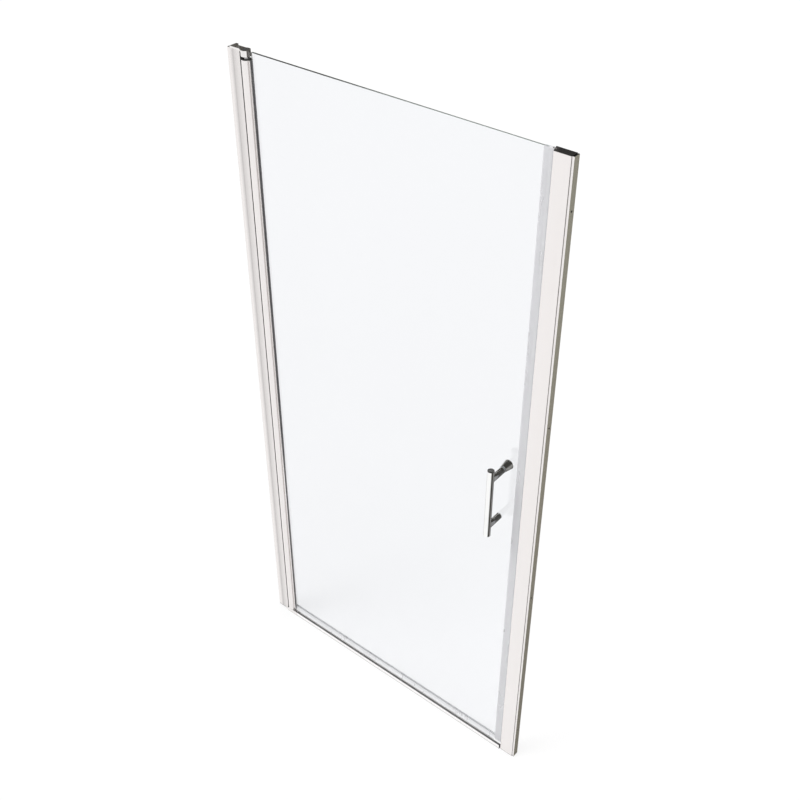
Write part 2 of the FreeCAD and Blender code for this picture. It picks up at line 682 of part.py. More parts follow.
# ================================================================ threshold strip
# A low aluminium rail seals to the tray and turns the water back. It hooks on the bottom bracket and
# ends in a plastic cap beside the closing post.
strip_end = strike_left - strike_nose_slant * (strip_back - front_y) / post_depth - strip_end_gap
strip_body_end = strip_end - strip_cap_thick
strip = block(foot_reach, strip_body_end, -strip_front, strip_back, 0, strip_high)
top_edges = [edge for edge in strip.Edges
             if abs(edge.CenterOfMass.z - strip_high) < close_to and edge.Length > strip_thick + past]
strip = strip.makeFillet(strip_round, top_edges)
strip_hollow = block(foot_reach, strip_body_end, -strip_front + strip_wall, strip_back - strip_wall,
                     0, strip_high - strip_wall)
save("threshold_strip", [strip.cut(strip_hollow)])
strip_cap = block(strip_body_end, strip_end, -strip_front, strip_back, 0, strip_high)
strip_cap = strip_cap.makeFillet(strip_round, [edge for edge in strip_cap.Edges
                                               if abs(edge.CenterOfMass.z - strip_high) < close_to
                                               and edge.Length < strip_cap_thick + close_to])
save("threshold_end_cap", [joined(
    strip_cap,
    block(strip_body_end - strip_cap_plug, strip_body_end, -strip_front + strip_wall + hand_fit,
          strip_back - strip_wall - hand_fit, 0, strip_high - strip_wall - hand_fit))])

# ================================================================ seals on the glass
# The clear edge seal grips the glass's free edge. Its chamber is cut at the nose's slant and holds the
# leaf's magnet strip.
seal_top = height + edge_seal_proud
seal_left = glass_right - edge_seal_grip
chamber_left = glass_right + edge_seal_wall
chamber_half = glass_thick / 2 + edge_seal_bulge
chamber_front = glass_middle - chamber_half
chamber_back = glass_middle + chamber_half


def chamber_face(y):
    """The X of the chamber's face, parallel to the nose at the magnets' gap, at the depth y."""
    return nose_at_glass - (y - glass_middle) * math.tan(nose_tilt) - magnet_gap / math.cos(nose_tilt)


chamber = prism([(glass_right, chamber_front), (chamber_face(chamber_front), chamber_front),
                 (chamber_face(chamber_back), chamber_back), (glass_right, chamber_back)],
                edge_seal_foot, seal_top)
edge_seal = joined(
    chamber,
    block(seal_left, glass_right, glass_front - edge_seal_wall, glass_front, edge_seal_foot, seal_top),
    block(seal_left, glass_right, glass_back, glass_back + edge_seal_wall, edge_seal_foot, seal_top))
leaf_magnet_near = magnet_gap + magnet_skin
leaf_magnet_far = leaf_magnet_near + magnet_thick
leaf_magnet_shift = (leaf_magnet_near + leaf_magnet_far) / 2 * math.tan(nose_tilt)
leaf_bed = nose_block(magnet_width / 2 + snug, leaf_magnet_near - snug, leaf_magnet_far + snug,
                      edge_seal_foot, seal_top, leaf_magnet_shift)
save("leaf_magnet_seal", [edge_seal.cut([leaf_bed])])
save("leaf_magnet_strip", [nose_block(magnet_width / 2, leaf_magnet_near, leaf_magnet_far,
                                      edge_seal_foot, seal_top, leaf_magnet_shift)])

# The clear drip seal grips the glass's lower edge. Its fin hangs just above the threshold strip, and
# clears it when the leaf turns out.
drip_left = lip_reach + drip_end_gap
drip_right = seal_left - drip_end_gap
drip_top = glass_foot + drip_grip
drip_base = glass_foot - drip_floor
drip_front = glass_front - drip_wall
fin_tip = (drip_front - drip_fin_reach, drip_base - drip_fin_drop)
drip_seal = joined(
    block(drip_left, drip_right, drip_front, glass_back + drip_wall, drip_base, glass_foot),
    block(drip_left, drip_right, drip_front, glass_front, glass_foot, drip_top),
    block(drip_left, drip_right, glass_back, glass_back + drip_wall, glass_foot, drip_top),
    strip_prism([(drip_front, drip_base + drip_fin_thick), fin_tip,
                 (fin_tip[0] + drip_fin_thick, fin_tip[1]), (drip_front + drip_fin_thick, drip_base)],
                drip_left, drip_right))
save("bottom_drip_seal", [drip_seal])

# ================================================================ handle
# A round bar stands off the outside of the glass on two round distance pieces. A stud runs through the
# upper hole to a conical knob, and a flush countersunk screw holds the lower one.
seat_plane = bar_y + handle_diameter / 2 - standoff_seat
washer_front = glass_front - washer_thick
washer_back = glass_back + washer_thick

bar = post_of(handle_x, bar_y, handle_diameter / 2, handle_height - handle_length / 2,
              handle_height + handle_length / 2)
bar = bar.makeChamfer(handle_edge, [edge for edge in bar.Edges if len(edge.Vertexes) == 1])
bar = bar.cut([rod(handle_x, z, standoff_diameter / 2 + snug, seat_plane, bar_y + handle_diameter)
               for z in handle_levels])
bar = bar.cut([rod(handle_x, z, bar_stud_diameter / 2 + snug, seat_plane - bar_stud_grip, seat_plane)
               for z in handle_levels])
save("handle_bar", [bar])

def round_at(radius, y0, y1, z):
    """A rod on the line of the handle's fixing at the level z."""
    return rod(handle_x, z, radius, y0, y1)


lower_fixing, upper_fixing = handle_levels
stud_radius = stud_diameter / 2
stud_hole = stud_radius + snug
standoffs = []
bar_studs = []
outer_washers = []
for z in handle_levels:
    standoffs.append(round_at(standoff_diameter / 2, seat_plane, washer_front, z).cut([
        round_at(bar_stud_diameter / 2 + snug, seat_plane, seat_plane + bar_stud_grip, z),
        round_at(stud_hole, washer_front - stud_grip, washer_front, z)]))
    bar_studs.append(round_at(bar_stud_diameter / 2, seat_plane - bar_stud_grip + hand_fit,
                           seat_plane + bar_stud_grip - hand_fit, z))
    outer_washers.append(round_at(washer_diameter / 2, washer_front, glass_front, z).cut(
        round_at(stud_hole, washer_front, glass_front, z)))
save("handle_standoffs", standoffs)
save("handle_bar_studs", bar_studs)
save("handle_outer_washers", outer_washers)

# The lower fixing's screw has a conical head that lies flush in its sleeve, at the back of the glass.
stud_foot = washer_front - stud_grip + hand_fit
head_radius = glass_screw_head / 2
head_foot = glass_back - (head_radius - stud_radius)
screw_head = Part.makeCone(stud_radius, head_radius, glass_back - head_foot,
                           FreeCAD.Vector(handle_x, head_foot, lower_fixing), INTO_SHOWER)
head_seat = Part.makeCone(stud_hole, head_radius + snug, glass_back - head_foot,
                          FreeCAD.Vector(handle_x, head_foot, lower_fixing), INTO_SHOWER)
screw_shank = round_at(stud_radius, stud_foot, head_foot, lower_fixing)
save("handle_glass_screw", [joined(screw_shank, screw_head)])
sleeve_radius = glass_hole / 2 - sleeve_play
sleeves = [round_at(sleeve_radius, glass_front, glass_back, z).cut(
    round_at(stud_hole, glass_front, glass_back, z)) for z in handle_levels]
save("handle_hole_sleeves", [sleeves[0].cut(head_seat), sleeves[1]])

# The knob screws on the stud at the upper fixing, over a soft washer.
save("knob_stud", [round_at(stud_radius, stud_foot, washer_back + stud_knob_grip, upper_fixing)])
save("knob_washer", [round_at(washer_diameter / 2, glass_back, washer_back, upper_fixing).cut(
    round_at(stud_hole, glass_back, washer_back, upper_fixing))])
knob = Part.makeCone(knob_base / 2, knob_face / 2, knob_length,
                     FreeCAD.Vector(handle_x, washer_back, upper_fixing), INTO_SHOWER)
knob = knob.makeFillet(knob_edge, rims_at(knob, washer_back + knob_length))
save("inner_knob", [knob.cut(round_at(stud_hole, washer_back, washer_back + stud_knob_grip + hand_fit,
                                   upper_fixing))])
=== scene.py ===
import math

import bpy
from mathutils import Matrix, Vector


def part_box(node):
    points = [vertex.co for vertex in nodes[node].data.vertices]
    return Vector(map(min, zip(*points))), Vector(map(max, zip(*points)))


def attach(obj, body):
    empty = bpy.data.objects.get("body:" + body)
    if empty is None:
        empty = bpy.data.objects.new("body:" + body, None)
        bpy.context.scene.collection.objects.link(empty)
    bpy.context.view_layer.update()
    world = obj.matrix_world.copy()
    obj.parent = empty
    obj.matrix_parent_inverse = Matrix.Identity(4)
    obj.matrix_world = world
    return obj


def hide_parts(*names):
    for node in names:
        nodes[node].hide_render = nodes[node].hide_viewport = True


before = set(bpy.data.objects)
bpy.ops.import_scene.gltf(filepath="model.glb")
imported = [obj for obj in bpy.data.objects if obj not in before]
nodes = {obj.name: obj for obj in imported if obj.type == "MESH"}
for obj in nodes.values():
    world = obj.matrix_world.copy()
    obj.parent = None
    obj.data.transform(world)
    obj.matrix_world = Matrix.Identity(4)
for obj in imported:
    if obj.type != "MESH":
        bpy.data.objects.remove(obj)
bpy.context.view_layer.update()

# ---------------------------------------------------------------- camera
# It stands outside the door, on the closing side and above the door's top, and looks down at its
# middle, as the door is usually shown.
camera_place = (1.8867, -1.7438, 2.8125)
camera_tilt = 52.8486           # degrees up from looking straight down
camera_turn = 39.2369           # degrees to the left of looking along +Y
camera_data = bpy.data.cameras.new("camera")
camera_data.lens = 50.0
camera_data.sensor_width = 36.0
camera_data.clip_end = 200.0
camera = bpy.data.objects.new("camera", camera_data)
camera.location = camera_place
camera.rotation_euler = (math.radians(camera_tilt), 0.0, math.radians(camera_turn))
bpy.context.scene.collection.objects.link(camera)
bpy.context.scene.camera = camera
bpy.context.scene.view_settings.view_transform = "Standard"


# ---------------------------------------------------------------- studio
# A pale floor under a soft white sky, with soft sun lamps from the front. Polished metal also shows
# the studio's darker ceiling, and the dark side of the studio to the right of the door.
def link(tree, source, target):
    """Joins an output to an input, each given as (node, name or number)."""
    tree.links.new(source[0].outputs[source[1]], target[0].inputs[target[1]])


def math_node(tree, operation, *values):
    """A math node over numbers and (node, output) pairs."""
    node = tree.nodes.new("ShaderNodeMath")
    node.operation = operation
    for place, value in enumerate(values):
        if isinstance(value, tuple):
            link(tree, value, (node, place))
        else:
            node.inputs[place].default_value = value
    return node, 0


def smooth_step(tree, value, low, high, at_low=0.0, at_high=1.0):
    """Runs smoothly from at_low to at_high while the value goes from low to high."""
    node = tree.nodes.new("ShaderNodeMapRange")
    node.interpolation_type = "SMOOTHSTEP"
    link(tree, value, (node, "Value"))
    node.inputs["From Min"].default_value = low
    node.inputs["From Max"].default_value = high
    node.inputs["To Min"].default_value = at_low
    node.inputs["To Max"].default_value = at_high
    return node, "Result"


def product(tree, first, *others):
    """The values multiplied together."""
    for other in others:
        first = math_node(tree, "MULTIPLY", first, other)
    return first


def total(tree, first, *others):
    """The values added up."""
    for other in others:
        first = math_node(tree, "ADD", first, other)
    return first


def only_where(tree, mask, shade):
    """The shade where the mask is 1, and 1, which shades nothing, where the mask is 0."""
    return math_node(tree, "SUBTRACT", 1.0, product(tree, mask, math_node(tree, "SUBTRACT", 1.0, shade)))


def part_of(tree, vector, axis):
    """The X, Y or Z of a vector."""
    node = tree.nodes.new("ShaderNodeSeparateXYZ")
    link(tree, vector, (node, 0))
    return node, axis


def mixed(tree, mask, colour_at_0, colour_at_1):
    """Two colours mixed by a mask, each given as three numbers or as a (node, output) pair."""
    node = tree.nodes.new("ShaderNodeMix")
    node.data_type = "RGBA"
    link(tree, mask, (node, 0))
    for socket, colour in ((6, colour_at_0), (7, colour_at_1)):
        if len(colour) == 2:
            link(tree, colour, (node, socket))
        else:
            node.inputs[socket].default_value = (*colour, 1.0)
    return node, 2


dark_side = 0.095               # how light the studio's dark side is in polished metal
light_streak = 0.17             # how much lighter a streak in it is
left_side = 0.62                # how light the far left is
studio_middle = (0.9, 0.0)      # the sides are seen round this place beside the closing post
# The sides fade in and out between two angles each, in degrees from +X towards +Y.
dark_begins = (-36.0, -27.0)
dark_ends = (112.0, 124.0)
streak_begins = (14.0, 20.0)
streak_ends = (33.0, 39.0)
left_begins = (142.0, 152.0)


def side_shade(tree, x, y):
    """How light the studio is in polished metal, in the direction (x, y)."""
    turn = math_node(tree, "ARCTAN2", y, x)

    def fade(angles, before, after):
        """Goes from one value to another while the direction turns through the angles."""
        return smooth_step(tree, turn, math.radians(angles[0]), math.radians(angles[1]), before, after)

    right = product(tree, fade(dark_begins, 0.0, 1.0), fade(dark_ends, 1.0, 0.0))
    streak = product(tree, fade(streak_begins, 0.0, 1.0), fade(streak_ends, light_streak, 0.0))
    left = fade(left_begins, 0.0, 1.0 - left_side)
    dark = product(tree, right, math_node(tree, "SUBTRACT", 1.0 - dark_side, streak))
    return math_node(tree, "SUBTRACT", 1.0, total(tree, dark, left))


def warm_when_dark(tree, lightness):
    """White where the studio is light, and a warm grey's hue where it is dark."""
    return mixed(tree, lightness, (1.0, 0.94, 0.84), (1.0, 1.0, 1.0))


sky_light = 0.80                # strength of the white sky, on surfaces that scatter light
ceiling = 0.050                 # how light the ceiling is in polished metal
ceiling_begins = 0.04           # mirrored rays darken towards it between these rises, out of 1
ceiling_full = 0.375
seen_white = 1.03               # strength of the sky as the camera sees it, as light as the floor
world = bpy.data.worlds.new("studio")
bpy.context.scene.world = world
world.use_nodes = True
sky = world.node_tree
sky.nodes.clear()
sky_out = sky.nodes.new("ShaderNodeOutputWorld")
sky_shader = sky.nodes.new("ShaderNodeBackground")
sky_ray = sky.nodes.new("ShaderNodeLightPath")
sky_place = sky.nodes.new("ShaderNodeTexCoord")
sky_x, sky_y, sky_z = [part_of(sky, (sky_place, "Generated"), axis) for axis in "XYZ"]
overhead = smooth_step(sky, sky_z, ceiling_begins, ceiling_full, 1.0, ceiling)
mirrored = math_node(sky, "MAXIMUM", product(sky, overhead, side_shade(sky, sky_x, sky_y)), ceiling)
# Masks for the sky seen straight or through glass, the sky seen in a mirror, and the sky as a light.
bounces = total(sky, (sky_ray, "Glossy Depth"), (sky_ray, "Diffuse Depth"))
straight = math_node(sky, "LESS_THAN", bounces, 0.5)
not_lighting = math_node(sky, "LESS_THAN", (sky_ray, "Diffuse Depth"), 0.5)
in_mirror = product(sky, math_node(sky, "SUBTRACT", 1.0, straight), not_lighting)
lighting = math_node(sky, "GREATER_THAN", (sky_ray, "Diffuse Depth"), 0.5)
strength = total(sky, product(sky, straight, seen_white), product(sky, in_mirror, mirrored),
                 product(sky, lighting, sky_light))
link(sky, strength, (sky_shader, "Strength"))
link(sky, warm_when_dark(sky, only_where(sky, in_mirror, mirrored)), (sky_shader, "Color"))
link(sky, (sky_shader, 0), (sky_out, 0))

# Each lamp has its power, and in degrees its height, its turn from straight in front and its softness.
lamps = [("key_lamp", 1.3, 50.0, -38.0, 32.0), ("fill_lamp", 0.35, 35.0, 60.0, 50.0)]
for name, power, height_angle, side_angle, softness in lamps:
    lamp_data = bpy.data.lights.new(name, "SUN")
    lamp_data.energy = power
    lamp_data.angle = math.radians(softness)
    lamp = bpy.data.objects.new(name, lamp_data)
    lamp.rotation_euler = (math.radians(90.0 - height_angle), 0.0, math.radians(side_angle))
    lamp.visible_glossy = False
    bpy.context.scene.collection.objects.link(lamp)

floor_colour = 0.22             # the rest up to white is given to what the camera sees
floor_glow = 0.77
floor_size = 80.0
bpy.ops.object.select_all(action="DESELECT")
bpy.ops.mesh.primitive_plane_add(size=floor_size)
floor = bpy.context.object
floor.name = "studio_floor"
floor_paint = bpy.data.materials.new("floor_paint")
floor_paint.use_nodes = True
paint = floor_paint.node_tree
paint_shader = paint.nodes["Principled BSDF"]
paint_ray = paint.nodes.new("ShaderNodeLightPath")
paint_place = paint.nodes.new("ShaderNodeTexCoord")
beside_x = math_node(paint, "SUBTRACT", part_of(paint, (paint_place, "Object"), "X"), studio_middle[0])
beside_y = math_node(paint, "SUBTRACT", part_of(paint, (paint_place, "Object"), "Y"), studio_middle[1])
paint_mirrored = math_node(paint, "GREATER_THAN", (paint_ray, "Glossy Depth"), 0.5)
shown = only_where(paint, paint_mirrored, side_shade(paint, beside_x, beside_y))
link(paint, product(paint, shown, floor_colour), (paint_shader, "Base Color"))
paint_seen = math_node(paint, "LESS_THAN", (paint_ray, "Diffuse Depth"), 0.5)
link(paint, warm_when_dark(paint, shown), (paint_shader, "Emission Color"))
link(paint, product(paint, shown, paint_seen, floor_glow), (paint_shader, "Emission Strength"))
paint_shader.inputs["Roughness"].default_value = 0.9
paint_shader.inputs["Specular IOR Level"].default_value = 0.0
floor.data.materials.append(floor_paint)


# ---------------------------------------------------------------- wall channels
# Two U sections of aluminium, pressed through a die, polished and anodised bright. They are sawn to
# length, drilled and screwed to the walls, and the posts slide over their flanges.
def new_group(name, inputs, outputs):
    """A shader node group. Each input is (name, kind, value) and each output is (name, kind)."""
    tree = bpy.data.node_groups.new(name, "ShaderNodeTree")
    for socket_name, kind, value in inputs:
        socket = tree.interface.new_socket(
            name=socket_name, in_out="INPUT", socket_type="NodeSocket" + kind)
        socket.default_value = value
    for socket_name, kind in outputs:
        tree.interface.new_socket(name=socket_name, in_out="OUTPUT", socket_type="NodeSocket" + kind)
    return tree, tree.nodes.new("NodeGroupInput"), tree.nodes.new("NodeGroupOutput")


def stretched_noise(tree, place, stretch, detail):
    """Cloudy noise whose cells are 1 / stretch metres long in each direction."""
    scaled = tree.nodes.new("ShaderNodeVectorMath")
    scaled.operation = "MULTIPLY"
    link(tree, place, (scaled, 0))
    scaled.inputs[1].default_value = stretch
    noise = tree.nodes.new("ShaderNodeTexNoise")
    link(tree, (scaled, 0), (noise, "Vector"))
    noise.inputs["Scale"].default_value = 1.0
    noise.inputs["Detail"].default_value = detail
    return noise, "Fac"


# Lines that the die leaves along Z, and the slow change of polish over a long section.
drawn_lines, drawn_in, drawn_out = new_group(
    "drawn_lines", [("Place", "Vector", (0.0, 0.0, 0.0)), ("Polish", "Float", 0.12)],
    [("Shade", "Float"), ("Roughness", "Float"), ("Height", "Float")])
die_marks = stretched_noise(drawn_lines, (drawn_in, "Place"), (1900.0, 1900.0, 5.0), 3.0)
polish_marks = stretched_noise(drawn_lines, (drawn_in, "Place"), (40.0, 40.0, 3.0), 3.0)
die_shade = smooth_step(drawn_lines, die_marks, 0.25, 0.75, 0.978, 1.0)
polish_shade = smooth_step(drawn_lines, polish_marks, 0.3, 0.7, 0.985, 1.0)
link(drawn_lines, product(drawn_lines, die_shade, polish_shade), (drawn_out, "Shade"))
polish_rough = smooth_step(drawn_lines, polish_marks, 0.3, 0.7, 0.0, 0.05)
die_rough = smooth_step(drawn_lines, die_marks, 0.5, 0.8, 0.0, 0.05)
link(drawn_lines, total(drawn_lines, (drawn_in, "Polish"), polish_rough, die_rough), (drawn_out, "Roughness"))
link(drawn_lines, die_marks, (drawn_out, "Height"))

# Finger marks, dried drops and hair scratches on polished surfaces.
hand_marks, marks_in, marks_out = new_group(
    "hand_marks", [("Place", "Vector", (0.0, 0.0, 0.0)), ("Amount", "Float", 1.0)],
    [("Film", "Float"), ("Scratch", "Float")])
film = stretched_noise(hand_marks, (marks_in, "Place"), (38.0, 38.0, 30.0), 4.0)
film_mask = smooth_step(hand_marks, film, 0.48, 0.72)
link(hand_marks, product(hand_marks, film_mask, (marks_in, "Amount")), (marks_out, "Film"))
hair = stretched_noise(hand_marks, (marks_in, "Place"), (70.0, 90.0, 55.0), 1.0)
hair_line = math_node(hand_marks, "ABSOLUTE", math_node(hand_marks, "SUBTRACT", hair, 0.5))
hair_mask = smooth_step(hand_marks, hair_line, 0.0, 0.006, 1.0, 0.0)
link(hand_marks, product(hand_marks, hair_mask, (marks_in, "Amount")), (marks_out, "Scratch"))


def use_group(tree, group, **values):
    """Places a node group in a material, with numbers or (node, output) pairs on its inputs."""
    node = tree.nodes.new("ShaderNodeGroup")
    node.node_tree = group
    for socket, value in values.items():
        if isinstance(value, tuple):
            link(tree, value, (node, socket))
        else:
            node.inputs[socket].default_value = value
    return node


def new_material(name, **constants):
    """A material with its shader, and constants for the shader's sockets, _ for a space."""
    material = bpy.data.materials.new(name)
    material.use_nodes = True
    shader = material.node_tree.nodes["Principled BSDF"]
    for socket, value in constants.items():
        shader.inputs[socket.replace("_", " ")].default_value = value
    return material, material.node_tree, shader


def tinted(tree, colour, shade):
    """A colour, three numbers or a (node, output) pair, made darker or lighter by a value."""
    node = tree.nodes.new("ShaderNodeVectorMath")
    node.operation = "SCALE"
    if len(colour) == 2:
        link(tree, colour, (node, 0))
    else:
        node.inputs[0].default_value = colour
    link(tree, shade, (node, "Scale"))
    return node, 0


def bumped(tree, shader, height, distance, strength=0.3):
    """Feeds a height in metres into the shader's normal."""
    bump = tree.nodes.new("ShaderNodeBump")
    bump.inputs["Strength"].default_value = strength
    bump.inputs["Distance"].default_value = distance
    link(tree, height, (bump, "Height"))
    link(tree, (bump, 0), (shader, "Normal"))


corner_free = 0.30              # share of the directions round a point that are free in a corner
face_free = 0.92                # and on an open face


def corner_shade(tree, reach, darkest):
    """Painted shade: darker in grooves and inner corners, where other surfaces lie within the reach, in metres.
    """
    hidden = tree.nodes.new("ShaderNodeAmbientOcclusion")
    hidden.samples = 8
    hidden.inputs["Distance"].default_value = reach
    return smooth_step(tree, (hidden, "AO"), corner_free, face_free, darkest, 1.0)


def facing(tree, place, axis, low, high, at_low=0.0, at_high=1.0):
    """Goes from at_low to at_high as the faces turn towards the axis, by the normal's part along it."""
    return smooth_step(tree, part_of(tree, (place, "Normal"), axis), low, high, at_low, at_high)


def by_mask(tree, mask, without, full):
    """Goes from one value to another as the mask goes from 0 to 1."""
    return smooth_step(tree, mask, 0.0, 1.0, without, full)


anodised_tint = (0.866, 0.832, 0.822)
# Painted reflection of the dark ceiling: upward faces of anodised metal are darkened to this share.
upward_shade = 0.20             # the sawn ends, and a rail's top, look into the dark ceiling


def anodised(name, turn=(0.0, 0.0, 0.0), reach=0.006, darkest=0.25, tint=anodised_tint, metallic=0.80,
             own_tint=None, own_shade=None):
    """Bright anodised aluminium, with its die lines along Z or along the turned Z, painted shade in its
    corners and a painted reflection of the dark ceiling on its upward faces. A piece's own tint and shade
    are functions of its tree and its Texture Coordinate node."""
    material, tree, shader = new_material(name, Metallic=metallic, IOR=1.6)
    place = tree.nodes.new("ShaderNodeTexCoord")
    turned = tree.nodes.new("ShaderNodeMapping")
    link(tree, (place, "Object"), (turned, 0))
    turned.inputs["Rotation"].default_value = turn
    lines = use_group(tree, drawn_lines, Place=(turned, 0), Polish=0.10)
    marks = use_group(tree, hand_marks, Place=(place, "Object"), Amount=0.5)
    shade = product(tree, (lines, "Shade"), corner_shade(tree, reach, darkest),
                    by_mask(tree, (marks, "Film"), 1.0, 0.97),
                    facing(tree, place, "Z", 0.35, 0.75, 1.0, upward_shade))
    if own_shade:
        shade = product(tree, shade, own_shade(tree, place))
    if own_tint:
        tint = own_tint(tree, place)
    link(tree, tinted(tree, tint, shade), (shader, "Base Color"))
    roughness = total(tree, (lines, "Roughness"), by_mask(tree, (marks, "Film"), 0.0, 0.06))
    link(tree, roughness, (shader, "Roughness"))
    bumped(tree, shader, (lines, "Height"), distance=0.00001, strength=0.25)
    return material


def dress(material, *names):
    """Gives CAD nodes a material."""
    for name in names:
        for slot in nodes[name].material_slots:
            slot.material = material


dress(anodised("anodised_channel", reach=0.007, darkest=0.12), "hinge_wall_channel")

# The web of the channel at the closing side has a painted reflection of the studio's dark side, a warm,
# slightly green grey, and painted shade that grows lighter from its foot to its top.
painted_reflection_tint = (0.980, 0.925, 0.770)
web_foot = 0.2                  # height where the change begins, and its shade there
web_foot_shade = 0.88
web_top = 1.8                   # height where it ends
web_top_shade = 1.12


def web_mask(tree, place):
    """1 on the web's faces, which look along X."""
    return facing(tree, place, "X", 0.7, 0.95)


def web_painted_reflection(tree, place):
    """The painted reflection's warm grey on the web, and anodised beside it."""
    return mixed(tree, web_mask(tree, place), anodised_tint, painted_reflection_tint)


def web_painted_shade(tree, place):
    """The web's painted shade, which grows lighter from its foot to its top."""
    height = part_of(tree, (place, "Object"), "Z")
    fade = smooth_step(tree, height, web_foot, web_top, web_foot_shade, web_top_shade)
    return only_where(tree, web_mask(tree, place), fade)


web_metal = anodised("anodised_strike_channel", reach=0.008, darkest=0.06, own_tint=web_painted_reflection,
                     own_shade=web_painted_shade)
dress(web_metal, "strike_wall_channel")

# ---------------------------------------------------------------- post at the pivot
# A hollow aluminium section with a shallow flute down its front. Painted shade stands for the light that
# the flute turns away: the front darkens towards the flute's sharp edge and grows light again beside it.

# Places across the post, in metres, and how light the painted shade leaves its front there.
flute_stops = [(-0.0477, 0.98), (-0.0455, 0.93), (-0.0420, 0.82), (-0.0385, 0.67), (-0.0366, 0.61),
               (-0.0362, 0.73), (-0.0310, 0.80), (-0.0280, 0.83), (-0.0220, 0.89), (-0.0155, 0.92)]


def flute_shade(tree, place):
    """The painted shade of the post's front across the flute."""
    left = flute_stops[0][0]
    width = flute_stops[-1][0] - left
    ramp = tree.nodes.new("ShaderNodeValToRGB")
    from_left = math_node(tree, "SUBTRACT", part_of(tree, (place, "Object"), "X"), left)
    link(tree, math_node(tree, "DIVIDE", from_left, width), (ramp, "Fac"))
    stops = ramp.color_ramp.elements
    while len(stops) < len(flute_stops):
        stops.new(1.0)
    for stop, (x, grey) in zip(stops, flute_stops):
        stop.position = (x - left) / width
        stop.color = (grey, grey, grey, 1.0)
    return only_where(tree, facing(tree, place, "Y", -0.95, -0.6, 1.0, 0.0), (ramp, "Color"))


dress(anodised("anodised_hinge_post", own_shade=flute_shade), "hinge_post")

# ---------------------------------------------------------------- gap seal
# A dark rubber strip pushed into the post's slot. Its lip keeps water out of the gap between the
# post and the column.
moulded_grain, grain_in, grain_out = new_group(
    "moulded_grain", [("Place", "Vector", (0.0, 0.0, 0.0)), ("Cells", "Float", 1500.0)],
    [("Shade", "Float"), ("Roughness", "Float"), ("Height", "Float")])
grain_place = moulded_grain.nodes.new("ShaderNodeVectorMath")
grain_place.operation = "SCALE"
link(moulded_grain, (grain_in, "Place"), (grain_place, 0))
link(moulded_grain, (grain_in, "Cells"), (grain_place, "Scale"))
grain = stretched_noise(moulded_grain, (grain_place, 0), (1.0, 1.0, 1.0), 4.0)
grain_flow = stretched_noise(moulded_grain, (grain_in, "Place"), (60.0, 60.0, 60.0), 2.0)
grain_shade = smooth_step(moulded_grain, grain, 0.3, 0.7, 0.90, 1.04)
flow_shade = smooth_step(moulded_grain, grain_flow, 0.3, 0.7, 0.95, 1.03)
link(moulded_grain, product(moulded_grain, grain_shade, flow_shade), (grain_out, "Shade"))
link(moulded_grain, smooth_step(moulded_grain, grain, 0.35, 0.65, -0.05, 0.06), (grain_out, "Roughness"))
link(moulded_grain, grain, (grain_out, "Height"))


def moulded(name, colour, roughness, cells=1500.0, grain_depth=0.00003, **constants):
    """A moulded or extruded plastic or rubber with a fine grain."""
    material, tree, shader = new_material(name, **constants)
    place = tree.nodes.new("ShaderNodeTexCoord")
    surface = use_group(tree, moulded_grain, Place=(place, "Object"), Cells=cells)
    link(tree, tinted(tree, colour, (surface, "Shade")), (shader, "Base Color"))
    link(tree, total(tree, (surface, "Roughness"), roughness), (shader, "Roughness"))
    bumped(tree, shader, (surface, "Height"), grain_depth)
    return material


gap_rubber = moulded("gap_seal_rubber", (0.012, 0.012, 0.013), 0.70, Specular_IOR_Level=0.12)
dress(gap_rubber, "hinge_gap_seal")


# ---------------------------------------------------------------- top bracket
# A casting, polished all over, with its edges eased on the wheel. It lies on the post's end, and its
# round head carries the bush, under a snap-in disc. Two cross-head screws hold it.
def eased_copy(node, name, ease, body, clear=0.0):
    """A copy of a CAD node's shape with its sharp edges rounded off, which stands for the node. Its
    faces are drawn back by the clear distance."""
    piece = bpy.data.objects.new(name, nodes[node].data.copy())
    bpy.context.scene.collection.objects.link(piece)
    bpy.ops.object.select_all(action="DESELECT")
    piece.select_set(True)
    bpy.context.view_layer.objects.active = piece
    bpy.ops.mesh.customdata_custom_splitnormals_clear()
    bpy.ops.object.mode_set(mode="EDIT")
    bpy.ops.mesh.select_all(action="SELECT")
    bpy.ops.mesh.remove_doubles(threshold=0.000002)
    bpy.ops.mesh.dissolve_limited(angle_limit=math.radians(0.6))
    bpy.ops.object.mode_set(mode="OBJECT")
    if clear > 0.0:
        inset = piece.modifiers.new("clear", "DISPLACE")
        inset.mid_level = 0.0
        inset.strength = -clear
        bpy.ops.object.modifier_apply(modifier="clear")
    bpy.ops.object.shade_smooth()
    edge = piece.modifiers.new("eased", "BEVEL")
    edge.width = ease
    edge.segments = 3
    edge.limit_method = "ANGLE"
    edge.angle_limit = math.radians(35.0)
    edge.harden_normals = True
    bpy.ops.object.modifier_apply(modifier="eased")
    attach(piece, body)
    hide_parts(node)
    return piece


def give(piece, material):
    """A piece gets one material, in place of any that it has."""
    piece.data.materials.clear()
    piece.data.materials.append(material)


def polished(name, colour, roughness, film=1.0, reach=0.004, darkest=0.5, metallic=1.0, own_shade=None):
    """Polished or plated metal, with finger marks, hair scratches and painted shade in its corners. A piece's
    own shade is a function, as in anodised()."""
    material, tree, shader = new_material(name, Metallic=metallic)
    place = tree.nodes.new("ShaderNodeTexCoord")
    marks = use_group(tree, hand_marks, Place=(place, "Object"), Amount=film)
    shade = product(tree, by_mask(tree, (marks, "Film"), 1.0, 0.95), corner_shade(tree, reach, darkest))
    if own_shade:
        shade = product(tree, shade, own_shade(tree, place))
    link(tree, tinted(tree, colour, shade), (shader, "Base Color"))
    film_rough = by_mask(tree, (marks, "Film"), roughness, roughness + 0.07)
    scratch_rough = by_mask(tree, (marks, "Scratch"), 0.0, 0.08)
    link(tree, total(tree, film_rough, scratch_rough), (shader, "Roughness"))
    bumped(tree, shader, (marks, "Scratch"), distance=-0.000004)
    return material


